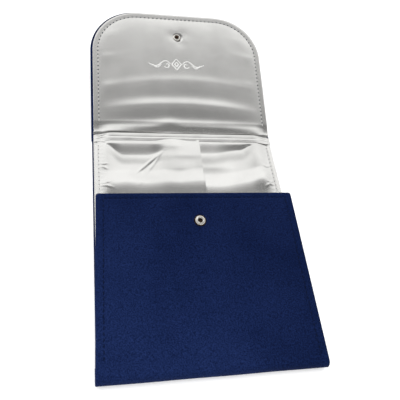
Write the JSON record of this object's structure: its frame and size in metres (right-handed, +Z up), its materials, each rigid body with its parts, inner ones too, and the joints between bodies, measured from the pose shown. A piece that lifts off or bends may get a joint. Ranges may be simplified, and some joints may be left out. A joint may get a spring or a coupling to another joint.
{
  "type": "travel jewelry case",
  "caption": "Flat padded travel jewelry case: a suede pouch lined with satin, with inner pockets and a rounded flap that snaps down over the front.",
  "frame": {"origin": "on the resting plane, under the middle of the open case's bounding box", "axes": "+Y from the bottom fold to the tip of the flap, +X across the case to the right as it is looked at from above, +Z up out of the resting face"},
  "size_m": [0.165, 0.3366, 0.0365],
  "materials": {
    "suede_navy": "short-napped microfibre suede, navy",
    "satin_silver": "glossy silver-white satin",
    "board_grey": "grey pressed board",
    "foam_white": "soft open-cell foam",
    "thread_navy": "polyester sewing thread",
    "thread_white": "polyester sewing thread",
    "snap_nickel": "warm nickel plate"
  },
  "bodies": {
    "back": {"back_outer_cover": "suede_navy", "back_stiffener_board": "board_grey", "back_foam_pad": "foam_white", "back_satin_lining": "satin_silver", "left_pocket_panel": "satin_silver", "right_pocket_panel": "satin_silver", "left_pocket_seam_thread": "thread_white", "right_pocket_seam_thread": "thread_white", "left_mouth_bar_tack": "thread_navy", "right_mouth_bar_tack": "thread_navy", "left_gusset": "satin_silver", "right_gusset": "satin_silver", "bottom_fold_cover": "suede_navy", "bottom_fold_lining": "satin_silver", "flap_fold_cover": "suede_navy", "flap_fold_lining": "satin_silver"},
    "flap": {"flap_outer_cover": "suede_navy", "flap_stiffener_board": "board_grey", "flap_foam_pad": "foam_white", "flap_satin_lining": "satin_silver", "flap_seam_thread": "thread_white", "flap_snap_cap": "snap_nickel", "flap_snap_stud": "snap_nickel"},
    "front": {"front_outer_cover": "suede_navy", "front_stiffener_board": "board_grey", "front_foam_pad": "foam_white", "front_satin_lining": "satin_silver", "front_seam_thread": "thread_navy", "front_snap_socket": "snap_nickel", "front_snap_ring_spring": "snap_nickel", "front_snap_eyelet": "snap_nickel"}
  },
  "joints": [
    {"name": "flap_hinge", "type": "hinge", "parent": "back", "child": "flap", "pos_m": [0, 0.04524, 0.0088], "axis": [1, 0, 0], "range_deg": [-14, 165], "deforming": ["flap_fold_cover", "flap_fold_lining"]},
    {"name": "front_hinge", "type": "hinge", "parent": "back", "child": "front", "pos_m": [0, -0.16301, 0.00525], "axis": [1, 0, 0], "range_deg": [-4.8, 0.5], "deforming": ["left_gusset", "right_gusset", "bottom_fold_lining", "bottom_fold_cover"]}
  ],
  "couplings": [
    {"joint": "front_hinge", "follows": "flap_hinge", "ratio": -0.029091}
  ]
}
